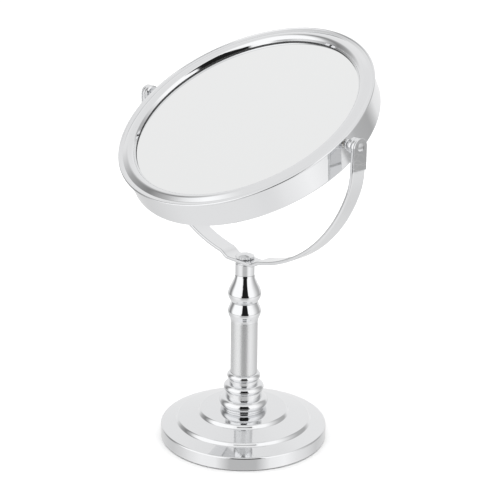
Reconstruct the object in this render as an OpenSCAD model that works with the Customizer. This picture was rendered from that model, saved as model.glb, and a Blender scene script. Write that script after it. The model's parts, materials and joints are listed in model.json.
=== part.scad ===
// Extendable shaving mirror: a chromed pedestal, a rod that slides up out of the
// column, a yoke that swivels on the rod and a two-sided mirror head that tilts in it.
// Millimetres, +Z up. The origin is the centre of the surface that the base stands on,
// X runs along the tilt axis and the user sits on the -Y side.

/* [Base] */
// Diameter of the stepped base
base_d = 120; // [110:1:130]
// Height of the base at its outer edge
rim_h = 10.4; // [9.5:0.1:11.5]
// Height of the base where the collar stands on it
base_h = 22.4; // [21.5:0.1:23.5]
// Sheet thickness of the base cover
cover_t = 1; // [0.8:0.1:1.2]
// Thickness of the soft pad under the base
pad_t = 1.8; // [1.2:0.1:2.2]

/* [Column] */
// Outer diameter of the satin tube
tube_d = 19.4; // [18.8:0.1:20]
// Bore of the satin tube
tube_bore = 17; // [16.8:0.1:17.2]
// Height of the top end of the satin tube
tube_top = 89.2; // [86:0.2:94]
// Diameter of the sliding rod
rod_d = 14; // [13.4:0.1:14.2]
// How far the rod slides out of the tube
travel = 40; // [30:1:40]

/* [Fitting on the rod] */
// Height of the pinched waist between the two bulges
waist_z = 103.6; // [103:0.2:105]
// Widest radius of the two bulges
bulge_r = 11.8; // [11.2:0.1:12.4]
// Radius of the neck that carries the yoke
neck_r = 6.9; // [6.4:0.1:7.4]
// Height of the top of the neck
neck_top = 132.4; // [130:0.2:135]

/* [Yoke] */
// Height of the tilt axis
pivot_z = 236.8; // [234:0.2:238]
// Half the outside width of the yoke at the tilt axis
yoke_half = 103; // [102.6:0.2:104.6]
// Width of the strap at the seat
strap_w = 13.8; // [13:0.1:14.4]
// Width of the strap at the tilt axis
strap_end_w = 11.8; // [11:0.1:12.4]
// Thickness of the strap
strap_t = 2.6; // [2.2:0.1:2.8]
// Length of the straight leg below the tilt axis
leg = 15; // [12:1:17]
// Radius of the shoulder bend, outside
shoulder_r = 50; // [44:1:54]
// Thickness of the end plates
plate_t = 1; // [0.8:0.1:1.6]

/* [Mirror head] */
// Angle that the mirror leans back from upright
lean = 60; // [0:1:75]
// Outer radius of the front bezel
bezel_r = 92.8; // [92.4:0.1:93.2]
// Outer radius of the casing
case_r = 90.8; // [90.6:0.1:91]
// Radius of the opening that shows the glass
sight_r = 80.4; // [79.6:0.1:81]
// Depth of the head behind the tilt axis
back_t = 15.2; // [14.8:0.1:16.2]
// Sheet thickness of the casing and bezel
sheet_t = 0.6; // [0.5:0.05:0.7]
// Thickness of each glass
glass_t = 2; // [1.8:0.1:2]
// Radius of curvature of the magnifying glass
magnify_r = 600; // [560:10:900]

/* [Hidden] */
$fn = 120;

// clearances
run = 0.05;            // radial clearance of a running fit
seat_gap = 0.05;       // gap between faces that slide on each other
through = 2;           // how far a cutting tool passes a face
// base
base_r = base_d / 2;
rim_lift = 0.8;        // the rim hangs this far above the table
edge_r = 1.3;          // rounding of the base's top edge
edge_turn = 80;        // angle that this rounding sweeps
riser_h = 2.8;         // height of each riser
riser_w = 1.4;         // width of a riser
tread_rise = 2.6;      // how far the outer tread climbs
shelf_drop = 0.9;      // the upper riser ends this far below the collar's seat
tread_2 = base_r - 10.6;   // foot of the second tier
tread_3 = base_r - 26.8;   // foot of the third tier
shelf_r = 17;          // where the upper tread turns level
rim_gap = 3.5;         // gap between the weight and the rim
weight_drop = 2.2;     // the weight's rim lies this far below the cover's
boss_r = 19;
boss_top = base_h - cover_t - run;
tube_depth = 4.9;      // how deep the tube stands in the boss
tube_foot = base_h - tube_depth;
pad_inset = 1.6;
bolt_r = 4;
bolt_gap = 0.3;
bolt_head_r = 7.5;
bolt_head_h = 5.3;
washer_h = 1.6;
bolt_pocket = 7;       // height of the pocket that hides the bolt head
bolt_head_z = pad_t + bolt_pocket - washer_h - bolt_head_h;
// collar: bodies (radius, height) and the beads on them (centre radius, centre height, radius)
collar_bodies = [[15.8, 3], [13.2, 14], [10.5, 23]];
collar_beads = [[13.6, 4.6, 3.9], [11.1, 15.6, 3.4], [9.1, 24.4, 2.9]];
// column and rod
plug_h = 6.4;
bush_h = 10.6;
clip_t = 1.2;
clip_wide = 1;         // how far a clip stands out of the rod
clip_mouth = 4;        // opening of the clip
piston_h = 10;
groove_depth = 0.8;    // depth of the clip grooves in the rod
rod_wall = 2.2;
rod_reach = 10;        // how far the rod reaches up into the bell
bush_bottom = tube_top - 0.1 - bush_h;
piston_bottom = bush_bottom - travel - 2 * clip_t - piston_h + 0.2;
rod_bottom = piston_bottom - 2 * clip_t;
rod_top = waist_z + rod_reach;
// fitting
waist_r = 9.3;
waist_gap = 0.1;       // fine joint between the two bulges
crown_z = waist_z + 6;     // widest place of the bell
ferrule_wide_z = waist_z - 7.3;
ferrule_foot_r = 9.95;
ferrule_lip = 0.5;
neck_foot = waist_z + 21;
screw_r = 3;
screw_gap = 0.2;
screw_depth = 10;      // how deep the cap screw sits in the neck
washer_t = 1;
spring_t = 0.4;
cap_r = 6.7;
cap_rim_h = 1.5;
cap_dome_h = 1.7;
cap_ledge = 0.6;       // flat ledge between the dome and the knurl
flute_r = 0.5;
flute_out = 0.2;
flute_step = 15;       // degrees from flute to flute
cap_z = neck_top + washer_t + 2 * seat_gap + strap_t + spring_t;
cap_sphere_r = ((cap_r - cap_ledge) ^ 2 + cap_dome_h ^ 2) / (2 * cap_dome_h);
// yoke
seat_z = neck_top + washer_t + seat_gap;   // underside of the seat
seat_half = 12;
joggle_half = 18;
joggle_h = 2;                              // the arc's lowest point lies this far above the seat
arc_drop = pivot_z - seat_z - joggle_h;    // lowest point of the strap's arc
arc_lift = ((yoke_half - shoulder_r) ^ 2 + leg ^ 2 - (arc_drop - shoulder_r) ^ 2)
    / (2 * (arc_drop - shoulder_r - leg));
arc_r = arc_drop + arc_lift;
lap = 0.5;                                 // angle by which one stretch of the strap laps the next
arc_split = 50;                            // angle where the long arc's two stretches meet
shoulder_x = yoke_half - shoulder_r;
shoulder_a = atan2(leg + arc_lift, shoulder_x);
inner_face = yoke_half - strap_t;
plate_foot = 15.6;                         // the end plate reaches this far below the axis
// pivots
pin_r = 2;
pin_head_r = 2.8;
pin_grip = 0.5;                            // the shank reaches this far into the head
thread_r = 1.5;
nut_r = 3.15;
nut_t = 2.4;
nut_outer = case_r - 2.2;                  // outer face of the nut
wave_t = 0.4;                              // wave washer at the nut
bush_r = 2.8;
bush_flange_r = 3.2;
bush_flange_t = 0.85;
bush_start = nut_outer + 0.5;
bush_end = case_r + 0.25;
spacer_start = case_r + 0.35;
// head, heights measured from the tilt axis along the mirror's normal
roll_r = 0.8;
roll_t = 5;
band_t = 5.05;                             // height of the flat band inside the roll
crest_r = sight_r + 4.4;
round_r = 4.2;                             // rounding of the bead
bead_t = 2.35;                             // height of the rounding's centre
bead_out = 68;                             // angles where the rounding starts and ends
bead_in = 150;
band_in = crest_r + 4.4;                   // where the band meets the bead's outer slope
lip_t = 3.25;
lip_w = 0.55;
skirt_foot = 0.8;
wall_top = 4.3;
back_round = 1.5;
glass_face = 2.1;
glass_r = 84.2;
seal_w = 3;
flange_t = 0.8;
foam_t = 1;
core_top = glass_face - glass_t - foam_t;
core_web = 2;
core_wall = 2;
core_r = case_r - sheet_t - 1.4;
core_bottom = -9;
locator_w = 1.4;                           // wall of the ring that centres the glass
locator_gap = 0.2;
locator_h = 4;
hub_r = 33;                                // stiffening ring under the web
hub_foot = -5;
hub_w = 1.6;
nut_pocket_r = 4.2;
skirt_hole_r = 3.6;
gasket_h = 2;
gasket_w = 7;
gasket_out = 1;
rear_seat = -(back_t - flange_t);
sphere_c = rear_seat - sqrt(magnify_r ^ 2 - glass_r ^ 2);

// points along an arc, centre (cx, cz), from angle a0 to a1
function arc(cx, cz, r, a0, a1, n = 6) =
    [for (i = [0:n]) let (a = a0 + (a1 - a0) * i / n) [cx + r * cos(a), cz + r * sin(a)]];

// points of a smooth S-shaped shoulder from (r0, z0) to (r1, z1)
function ogee(r0, z0, r1, z1, n = 8) =
    [for (i = [0:n]) let (s = i / n) [r0 + (r1 - r0) * (1 - cos(180 * s)) / 2, z0 + (z1 - z0) * s]];

// a turned piece from its outline
module turned(points) rotate_extrude() polygon(points);

// a washer or sleeve standing on z
module ring(r_out, r_in, z, h)
    translate([0, 0, z]) difference() {
        cylinder(r = r_out, h = h);
        translate([0, 0, -through]) cylinder(r = r_in, h = h + 2 * through);
    }

// places a child, drawn along +Z, on the tilt axis so that it points out of side s
module on_pivot(s) translate([0, 0, pivot_z]) rotate([0, 90 * s, 0]) children();

// leans the head back about the tilt axis
module leaned() translate([0, 0, pivot_z]) rotate([90 - lean, 0, 0]) children();

// ---- base ----

// outline of the cover, lowered and drawn in by d
function cover_line(d) = let (
        foot_2 = rim_h + tread_rise - d,
        head_3 = base_h - shelf_drop - d)
    concat(
        [[base_r - d, rim_lift]],
        arc(base_r - edge_r, rim_h - edge_r, edge_r - d, 0, edge_turn),
        [[tread_2, foot_2]],
        ogee(tread_2 - d, foot_2, tread_2 - riser_w - d, foot_2 + riser_h, 5),
        [[tread_3 + riser_w, head_3 - riser_h - 0.2]],
        ogee(tread_3 - d, head_3 - riser_h, tread_3 - riser_w - d, head_3, 5),
        [[shelf_r, base_h - d]]);

function reversed(list) = [for (i = [len(list) - 1:-1:0]) list[i]];

module base_cover() color("silver") turned(concat(
    cover_line(0),
    [[tube_d / 2 + run, base_h], [tube_d / 2 + run, base_h - cover_t]],
    reversed(cover_line(cover_t))));

module base_weight() color("dimgray") difference() {
    union() {
        translate([0, 0, pad_t]) cylinder(r = base_r - rim_gap, h = rim_h - weight_drop - pad_t);
        translate([0, 0, pad_t]) cylinder(r = boss_r, h = boss_top - pad_t);
    }
    translate([0, 0, pad_t - through]) cylinder(r = bolt_head_r + 1.5, h = bolt_pocket + through);
    cylinder(r = bolt_r + bolt_gap, h = base_h);
    translate([0, 0, tube_foot]) cylinder(r = tube_d / 2 + run, h = base_h);
}

module base_pad() color("black") cylinder(r = base_r - pad_inset, h = pad_t);

module tie_bolt() color("gray") translate([0, 0, bolt_head_z]) {
    cylinder(r = bolt_head_r, h = bolt_head_h, $fn = 6);
    cylinder(r = bolt_r, h = tube_foot + plug_h - 0.5 - bolt_head_z);
}

module tie_washer() color("gray")
    ring(bolt_head_r + 1, bolt_r + 0.2, bolt_head_z + bolt_head_h, washer_h);

// three beads of falling size on a stepped body
module collar() color("silver") translate([0, 0, base_h]) rotate_extrude() difference() {
    intersection() {
        union() {
            for (body = collar_bodies) square(body);
            for (bead = collar_beads) translate([bead[0], bead[1]]) circle(r = bead[2]);
        }
        square(base_r);
    }
    square([tube_d / 2 + run, base_r]);
}

// ---- column ----

module column_tube() color("lightgray") ring(tube_d / 2, tube_bore / 2, tube_foot, tube_top - tube_foot);

module tube_plug() color("gray") ring(tube_bore / 2 - run, bolt_r + run, tube_foot, plug_h);

module guide_bush() color("ivory") ring(tube_bore / 2 - run, rod_d / 2 + run, bush_bottom, bush_h);

// ---- rod and what it carries ----

module slide_rod() color("silver") difference() {
    ring(rod_d / 2, rod_d / 2 - rod_wall, rod_bottom, rod_top - rod_bottom);
    for (z = [piston_bottom - clip_t, piston_bottom + piston_h])
        ring(rod_d, rod_d / 2 - groove_depth, z, clip_t);
}

module slide_piston() color("ivory")
    ring(tube_bore / 2 - run, rod_d / 2 + run, piston_bottom, piston_h);

// two open spring rings that hold the piston on the rod
module rod_clips() color("dimgray") for (z = [piston_bottom - clip_t, piston_bottom + piston_h])
    difference() {
        ring(rod_d / 2 + clip_wide, rod_d / 2 - groove_depth + run, z + run, clip_t - 2 * run);
        translate([0, -clip_mouth / 2, z - through]) cube([rod_d, clip_mouth, clip_t + 2 * through]);
    }

// points of a quarter wave from the waist (i = 0) to a bulge that is widest at wide_z
function swell(from_z, wide_z, n = 8) =
    [for (i = [0:n]) [waist_r + (bulge_r - waist_r) * sin(90 * i / n), from_z + (wide_z - from_z) * i / n]];

module lower_ferrule() color("silver") turned(concat(
    [[rod_d / 2 + run, waist_z - waist_gap],
        [rod_d / 2 + run, tube_top + seat_gap],
        [ferrule_foot_r, tube_top + seat_gap]],
    ogee(ferrule_foot_r, tube_top + ferrule_lip, bulge_r, ferrule_wide_z, 7),
    reversed(swell(waist_z - waist_gap, ferrule_wide_z))));

module bell_neck() color("silver") difference() {
    turned(concat(
        [[0, waist_z]],
        swell(waist_z, crown_z, 7),
        ogee(bulge_r, crown_z, neck_r, neck_foot, 12),
        [[neck_r, neck_top], [0, neck_top]]));
    translate([0, 0, waist_z - through]) cylinder(r = rod_d / 2 + run, h = rod_reach + through);
    translate([0, 0, neck_top - screw_depth - 1]) cylinder(r = screw_r + run, h = screw_depth + through);
}

module swivel_washer() color("ivory")
    ring(neck_r - 0.2, screw_r + screw_gap, neck_top, washer_t);

module cap_spring() color("gray")
    ring(cap_r - 1.2, screw_r + screw_gap, cap_z - spring_t, spring_t);

// knurled, low-domed head on a screw that threads into the neck
module cap_screw() color("silver") {
    difference() {
        translate([0, 0, cap_z]) cylinder(r = cap_r, h = cap_rim_h);
        for (a = [0:flute_step:359]) rotate(a) translate([cap_r + flute_out, 0, cap_z - through])
            cylinder(r = flute_r, h = cap_rim_h + 2 * through);
    }
    intersection() {
        translate([0, 0, cap_z + cap_rim_h + cap_dome_h - cap_sphere_r]) sphere(r = cap_sphere_r);
        translate([0, 0, cap_z + cap_rim_h]) cylinder(r = cap_r - cap_ledge, h = cap_dome_h);
    }
    translate([0, 0, neck_top - screw_depth]) cylinder(r = screw_r, h = cap_z + 0.5 - neck_top + screw_depth);
}

// ---- yoke, drawn about the tilt axis ----

// the stretch of a flat ring between two angles below the horizontal
module ring_stretch(cx, cz, r, a0, a1) intersection() {
    translate([cx, cz]) difference() {
        circle(r = r);
        circle(r = r - strap_t);
    }
    polygon([[cx, cz], [cx + 2 * r * cos(a0), cz - 2 * r * sin(a0)],
        [cx + 2 * r * cos(a1), cz - 2 * r * sin(a1)]]);
}

// a point at angle a from the bottom of the big arc
function below(r, a) = [r * sin(a), arc_lift - r * cos(a)];

// the flat seat under the cap and the short bend on each side of it
module seat_outline() {
    a = asin(joggle_half / arc_r);
    low = seat_z - pivot_z;
    half = [[seat_half, low], below(arc_r, a), below(arc_r - strap_t / 2, a + 0.5),
        below(arc_r - strap_t, a), [seat_half, low + strap_t]];
    polygon(concat(half, [for (p = reversed(half)) [-p[0], p[1]]]));
}

// the strap's width at each height: from strap_w at the seat to strap_end_w at the tilt axis
module taper() {
    low = seat_z - pivot_z - through;
    rotate([90, 0, 90]) linear_extrude(3 * yoke_half, center = true) polygon([
        [-strap_w / 2, low], [strap_w / 2, low],
        [strap_end_w / 2, 0], [strap_end_w / 2, strap_end_w],
        [-strap_end_w / 2, strap_end_w], [-strap_end_w / 2, 0]]);
}

module yoke_strap() color("silver") translate([0, 0, pivot_z]) difference() {
    intersection() {
        union() {
            rotate([90, 0, 0]) linear_extrude(strap_w, center = true) {
                joggle_a = acos(joggle_half / arc_r);
                for (s = [0, 1]) mirror([s, 0]) {
                    ring_stretch(0, arc_lift, arc_r, shoulder_a - lap, arc_split);
                    ring_stretch(0, arc_lift, arc_r, arc_split - lap, joggle_a);
                    ring_stretch(shoulder_x, -leg, shoulder_r, -lap, shoulder_a);
                    translate([inner_face, -leg]) square([strap_t, leg]);
                }
                seat_outline();
            }
            for (s = [0, 1]) mirror([s, 0, 0]) translate([inner_face, 0, 0]) rotate([0, 90, 0])
                cylinder(r = strap_end_w / 2, h = strap_t);
        }
        taper();
    }
    rotate([0, 90, 0]) cylinder(r = pin_r + run, h = 3 * yoke_half, center = true);
    translate([0, 0, seat_z - pivot_z - through]) cylinder(r = screw_r + run, h = strap_t + 2 * through);
}

// flat plate with a round top, riveted over the end of the strap
module end_plate(s) color("silver") on_pivot(s) translate([0, 0, yoke_half]) difference() {
    union() {
        cylinder(r = strap_end_w / 2, h = plate_t);
        translate([s > 0 ? 0 : -plate_foot, -strap_end_w / 2, 0]) cube([plate_foot, strap_end_w, plate_t]);
    }
    translate([0, 0, -through]) cylinder(r = pin_head_r + run, h = plate_t + 2 * through);
}

module end_plate_left() end_plate(-1);
module end_plate_right() end_plate(1);

// turned spacer: a thin neck under the bezel's rim, a small disc, a waist and a wide disc
module spacer(s) color("silver") on_pivot(s) {
    disc = bezel_r + 0.3;
    turned([
        [pin_r + run, spacer_start], [2.5, spacer_start], [2.5, disc],
        [3.7, disc], [4.1, disc + 0.5], [4.1, disc + 1.2], [3.7, disc + 1.7],
        [3, disc + 1.8], [3, inner_face - 3],
        [5, inner_face - 2.8], [5.9, inner_face - 2], [5.9, inner_face - 0.7], [5.2, inner_face],
        [pin_r + run, inner_face]]);
}

module spacer_left() spacer(-1);
module spacer_right() spacer(1);

module pivot_pin(s) color("silver") on_pivot(s) {
    translate([0, 0, yoke_half + run]) cylinder(r = pin_head_r, h = plate_t - run);
    translate([0, 0, nut_outer]) cylinder(r = pin_r, h = yoke_half + pin_grip - nut_outer);
    translate([0, 0, nut_outer - nut_t - 0.4]) cylinder(r = thread_r, h = nut_t + 1);
}

module pivot_pin_left() pivot_pin(-1);
module pivot_pin_right() pivot_pin(1);

module pivot_springs() color("gray") for (s = [-1, 1]) on_pivot(s)
    ring(nut_r - 0.2, pin_r + run, nut_outer + 0.02, wave_t);

module pivot_nuts() color("gray") for (s = [-1, 1]) on_pivot(s) difference() {
    translate([0, 0, nut_outer - nut_t]) cylinder(r = nut_r, h = nut_t, $fn = 6);
    translate([0, 0, nut_outer - nut_t - through]) cylinder(r = thread_r + run, h = nut_t + 2 * through);
}

// ---- head, drawn about the tilt axis with +Z out of the front glass ----

// bush that lines the casing's hole and runs on the pin
module pivot_bush(s) color("ivory") on_pivot(s) turned([
    [pin_r + run, bush_start], [bush_flange_r, bush_start],
    [bush_flange_r, bush_start + bush_flange_t], [bush_r, bush_start + bush_flange_t],
    [bush_r, bush_end], [pin_r + run, bush_end]]);

module pivot_bush_left() pivot_bush(-1);
module pivot_bush_right() pivot_bush(1);

// cuts from a given distance outwards along the tilt axis, on both sides
module cross_hole(r, from) for (s = [-1, 1]) rotate([0, 90 * s, 0])
    translate([0, 0, from]) cylinder(r = r, h = bezel_r - from + through);

module casing() color("silver") leaned() difference() {
    turned(concat(
        [[case_r, wall_top]],
        arc(case_r - back_round, back_round - back_t, back_round, 0, -90),
        [[sight_r, -back_t], [sight_r, flange_t - back_t]],
        arc(case_r - back_round, back_round - back_t, back_round - sheet_t, -90, 0),
        [[case_r - sheet_t, wall_top]]));
    cross_hole(bush_r + run, core_r);
}

// rolled rim, flat band, a broad bead that ends in a lip above the seal, and a skirt in the casing
module front_bezel() color("silver") leaned() difference() {
    rotate_extrude() {
        translate([bezel_r - roll_r, roll_t]) circle(r = roll_r);
        polygon(concat(
            [[bezel_r - roll_r, band_t], [band_in, band_t]],
            arc(crest_r, bead_t, round_r, bead_out, bead_in, 12),
            [[sight_r + 0.05, lip_t], [sight_r + lip_w, lip_t]],
            arc(crest_r, bead_t, round_r - sheet_t, bead_in, bead_out, 12),
            [[band_in, band_t - sheet_t], [bezel_r - roll_r, band_t - sheet_t]]));
        translate([case_r - 2 * sheet_t - 0.1, skirt_foot]) square([sheet_t, band_t - 0.2 - skirt_foot]);
    }
    cross_hole(skirt_hole_r, band_in - 2);
}

module front_glass() color("lightblue") leaned()
    translate([0, 0, glass_face - glass_t]) cylinder(r = glass_r, h = glass_t);

// rubber ring between the lip of the bezel and the glass
module glass_seal() color("black") leaned()
    ring(sight_r + seal_w, sight_r + 0.1, glass_face, lip_t - seat_gap - glass_face);

module front_foam() color("white") leaned()
    translate([0, 0, core_top]) cylinder(r = glass_r, h = foam_t);

// moulded disc between the two glasses, with pockets for the pivot nuts
module core_disc() color("white") leaned() difference() {
    union() {
        translate([0, 0, core_top - core_web]) cylinder(r = core_r, h = core_web);
        ring(core_r, core_r - core_wall, core_bottom, core_top - core_bottom);
        ring(glass_r + locator_gap + locator_w, glass_r + locator_gap, core_top - core_web, locator_h);
        ring(hub_r, hub_r - hub_w, hub_foot, core_top - hub_foot);
    }
    cross_hole(nut_pocket_r, glass_r + 2 * locator_gap);
}

module rear_gasket() color("dimgray") leaned()
    ring(glass_r + gasket_out, glass_r + gasket_out - gasket_w, core_bottom - gasket_h, gasket_h);

// dished glass, silvered in front, that magnifies from behind
module rear_glass() color("lightblue") leaned() intersection() {
    translate([0, 0, -back_t]) cylinder(r = glass_r, h = back_t);
    translate([0, 0, sphere_c]) difference() {
        sphere(r = magnify_r + glass_t);
        sphere(r = magnify_r);
    }
}

base_cover();
base_weight();
base_pad();
tie_bolt();
tie_washer();
collar();
column_tube();
tube_plug();
guide_bush();
slide_rod();
slide_piston();
rod_clips();
lower_ferrule();
bell_neck();
swivel_washer();
cap_spring();
cap_screw();
yoke_strap();
end_plate_left();
end_plate_right();
spacer_left();
spacer_right();
pivot_pin_left();
pivot_pin_right();
pivot_springs();
pivot_nuts();
pivot_bush_left();
pivot_bush_right();
casing();
front_bezel();
front_glass();
glass_seal();
front_foam();
core_disc();
rear_gasket();
rear_glass();
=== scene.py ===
# %% [markdown]
# # An extendable shaving mirror in polished chrome
# A two-sided mirror tilts in a U-shaped yoke, the yoke swivels on a rod, and the rod slides
# out of a satin column that stands on a stepped base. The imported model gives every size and
# joint. This lesson adds what a plain solid lacks: sheet metal with rolled edges, turned
# pieces whose curves run smoothly into each other, and finishes that look used.
# Chrome has almost no colour of its own. Its look is shape and surroundings, so most of the
# work is in clean curves and in the studio that they reflect.

import json
from math import atan2, cos, degrees, pi, radians, sin

import bpy
import numpy as np
from mathutils import Matrix, Vector


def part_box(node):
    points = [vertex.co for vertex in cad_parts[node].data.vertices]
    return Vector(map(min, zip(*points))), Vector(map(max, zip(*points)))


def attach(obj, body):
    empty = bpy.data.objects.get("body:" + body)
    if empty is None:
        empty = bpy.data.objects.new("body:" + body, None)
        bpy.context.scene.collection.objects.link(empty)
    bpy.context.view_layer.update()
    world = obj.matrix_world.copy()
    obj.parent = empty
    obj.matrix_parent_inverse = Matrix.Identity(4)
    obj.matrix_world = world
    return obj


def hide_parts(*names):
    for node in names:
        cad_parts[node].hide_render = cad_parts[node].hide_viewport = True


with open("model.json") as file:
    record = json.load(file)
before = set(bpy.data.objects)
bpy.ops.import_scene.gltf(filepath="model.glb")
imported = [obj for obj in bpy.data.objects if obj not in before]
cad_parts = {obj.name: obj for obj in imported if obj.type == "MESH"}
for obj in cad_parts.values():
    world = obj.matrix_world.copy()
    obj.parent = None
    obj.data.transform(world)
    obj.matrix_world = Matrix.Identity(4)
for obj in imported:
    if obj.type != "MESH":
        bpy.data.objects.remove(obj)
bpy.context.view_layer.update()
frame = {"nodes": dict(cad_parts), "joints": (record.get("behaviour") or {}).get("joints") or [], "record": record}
nodes, joints = frame["nodes"], {joint["name"]: joint for joint in frame["joints"]}
MM = 0.001
print("the frame has", len(nodes), "pieces and the joints", ", ".join(joints))


def span(node):
    """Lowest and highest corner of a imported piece, in millimetres."""
    low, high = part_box(node)
    return np.array(low) / MM, np.array(high) / MM


# %% [markdown]
# ## Where the head points
# The head is drawn flat, with its glass facing up, and then leaned about the tilt axis. The
# angle could be copied from the design, but it is safer to measure it: the flat front of
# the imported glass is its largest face, so the mean of the upward normals, weighted by area,
# is the direction that the mirror looks in.

# %% Measure the lean
pivot = np.array(joints["head_tilt"]["pos_m"]) / MM
bezel_r = span("front_bezel")[1][0]


def facing(node):
    """Mean direction of a mesh's upward faces: the sum of area times normal, made one unit long."""
    mesh = nodes[node].data
    normals = np.empty(len(mesh.polygons) * 3)
    areas = np.empty(len(mesh.polygons))
    mesh.polygons.foreach_get("normal", normals)
    mesh.polygons.foreach_get("area", areas)
    normals = normals.reshape(-1, 3)
    up = normals[:, 2] > 0.5
    total = (normals[up] * areas[up, None]).sum(axis=0)
    return total / np.linalg.norm(total)


mirror_normal = facing("front_glass")
lean = atan2(-mirror_normal[1], mirror_normal[2])
print(f"the glass leans {degrees(lean):.1f} degrees from flat, about a pivot {pivot[2]:.1f} mm up")

# %% [markdown]
# ## Outlines
# Nearly every piece here is turned or spun, so each starts as an outline of radius and
# height. Real metal has no perfectly sharp edge: a small arc at each corner catches a line
# of light. A bevel modifier could add it, but an arc that is worked out in the outline keeps
# its exact radius and leaves the faces evenly spaced.
# A long straight stretch also gets a point just inside each end. Smooth shading blends the
# normals of neighbouring faces, and these two points keep the blend at the corner, so the
# flat stays optically flat. On chrome a bent normal is seen at once.

# %% Arcs, straight stretches and rounded corners
MARGIN = 0.12       # how close to a corner a straight stretch gets its first point
APART, SAME = 0.3, 1e-4  # ends farther apart than this get a straight run; points closer than that are one


def arc(centre, radius, start, stop, steps=24):
    """Centre plus radius times (cosine, sine) of evenly spaced angles, in degrees."""
    angle = np.radians(np.linspace(start, stop, steps + 1))
    return np.array(centre) + radius * np.column_stack([np.cos(angle), np.sin(angle)])


def straight(a, b, longest=3.0):
    """Points between a and b: one close to each end, and the rest evenly spread between those."""
    a, b = np.array(a, float), np.array(b, float)
    length = np.linalg.norm(b - a)
    edge = min(MARGIN, length / 4) / max(length, 1e-9)
    share = np.linspace(edge, 1 - edge, 2 + int(length / longest))[:, None]
    return a + (b - a) * share


def bend(before, here, after, radius, steps=6):
    """The arc that rounds one corner. It touches each side at the radius over the tangent of half the
    angle from the corner. A corner without a radius, or one that is nearly straight, stays a point."""
    before, here, after = (np.array(point, float) for point in (before, here, after))
    back, on = before - here, after - here
    back, on = back / np.linalg.norm(back), on / np.linalg.norm(on)
    half = np.arccos(np.clip(back @ on, -1, 1)) / 2
    if radius == 0 or half > pi / 2 - 1e-3:
        return here[None]
    centre = here + (back + on) / np.linalg.norm(back + on) * radius / sin(half)
    first = here + back * radius / np.tan(half) - centre
    last = here + on * radius / np.tan(half) - centre
    sweep = pi - 2 * half
    share = np.linspace(0, 1, steps + 1)[:, None]
    return centre + (first * np.sin((1 - share) * sweep) + last * np.sin(share * sweep)) / sin(sweep)


def rounded(corners, steps=6):
    """A closed outline from corners (across, up, radius), each turned into an arc."""
    corners = np.array(corners, float)
    flat = corners[:, :2]
    sides = zip(np.roll(flat, 1, 0), flat, np.roll(flat, -1, 0), corners[:, 2])
    return chain(*(bend(*corner, steps) for corner in sides), closed=True)


def chain(*stretches, closed=False):
    """Joins stretches of points end to end, with a straight run wherever two ends are apart."""
    joined = [np.array(stretches[0], float)]
    for stretch in [*stretches[1:], *([stretches[0][:1]] if closed else [])]:
        stretch = np.array(stretch, float)
        if np.linalg.norm(stretch[0] - joined[-1][-1]) > APART:
            joined.append(straight(joined[-1][-1], stretch[0]))
        joined.append(stretch)
    points = np.vstack(joined)
    moved = np.linalg.norm(np.diff(points, axis=0), axis=1) > SAME
    points = points[np.append(True, moved)]
    return points[:-1] if closed and np.linalg.norm(points[0] - points[-1]) < SAME else points


square = rounded([(0, 0, 1), (10, 0, 1), (10, 10, 1), (0, 10, 1)])
print("a 10 mm square with 1 mm corners has", len(square), "points")

# %% [markdown]
# ## Surfaces
# A surface here is a grid of points, rows by columns, worked out as whole arrays. Joining
# each point to its neighbours makes the faces. A grid may close on itself in either
# direction, as a ring does, and a row whose points all coincide is a pole, where the squares
# become triangles. The enclosed volume tells whether the faces point outwards: if the sum of
# its signed parts is negative, every face is turned over.
# Shading is smooth, except across edges sharper than 35 degrees, which stay crisp.

# %% From a grid of points to a finished piece
CRISP = radians(35)
SIDES = 224


def surface(name, grid, wrap=(True, True)):
    """A mesh from a grid of points in millimetres. wrap says which directions close on themselves.
    The volume is the sum, over the faces' triangles, of a dotted with b cross c."""
    grid = np.asarray(grid, float)
    rows, columns = grid.shape[:2]
    index = np.arange(rows * columns).reshape(rows, columns)
    for row in (0, rows - 1):
        if np.ptp(grid[row], axis=0).max() < 1e-9:
            index[row] = index[row, 0]
    if wrap[0]:
        index = np.vstack([index, index[:1]])
    if wrap[1]:
        index = np.hstack([index, index[:, :1]])
    corners = index[:-1, :-1], index[1:, :-1], index[1:, 1:], index[:-1, 1:]
    quads = np.stack(corners, axis=-1).reshape(-1, 4)
    points = grid.reshape(-1, 3)
    a, b, c, d = (points[quads[:, corner]] for corner in range(4))
    volume = (np.cross(a, b) * c).sum() + (np.cross(a, c) * d).sum()
    if volume < 0:
        quads = quads[:, ::-1]
    top, bottom = quads[:, 0] == quads[:, 3], quads[:, 1] == quads[:, 2]
    used, renumbered = np.unique(quads, return_inverse=True)
    quads = renumbered.reshape(-1, 4)
    faces = quads[~top & ~bottom].tolist()
    faces += quads[top][:, :3].tolist() + quads[bottom][:, [0, 1, 3]].tolist()
    mesh = bpy.data.meshes.new(name)
    mesh.from_pydata((points[used] * MM).tolist(), [], faces)
    mesh.shade_smooth()
    mesh.set_sharp_from_angle(angle=CRISP)
    mesh.update()
    return mesh


def revolved(outline, sides=SIDES):
    """Once round the axis for each outline point: (radius times cosine, radius times sine, height)."""
    angle = np.arange(sides) * 2 * pi / sides
    radius, height = outline[:, :1], outline[:, 1:]
    return np.stack([radius * np.cos(angle), radius * np.sin(angle), height + 0 * angle], axis=-1)


def show(name, grid, body, finish, replaced, wrap=(True, True)):
    """Makes a piece from its grid, finishes it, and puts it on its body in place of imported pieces."""
    piece = bpy.data.objects.new(name, surface(name, grid, wrap))
    bpy.context.scene.collection.objects.link(piece)
    piece.data.materials.append(finishes[finish])
    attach(piece, body)
    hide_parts(*replaced)
    print(f"{name}: {len(piece.data.polygons)} faces, {finish.replace('_', ' ')}, rides on the {body}")


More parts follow.
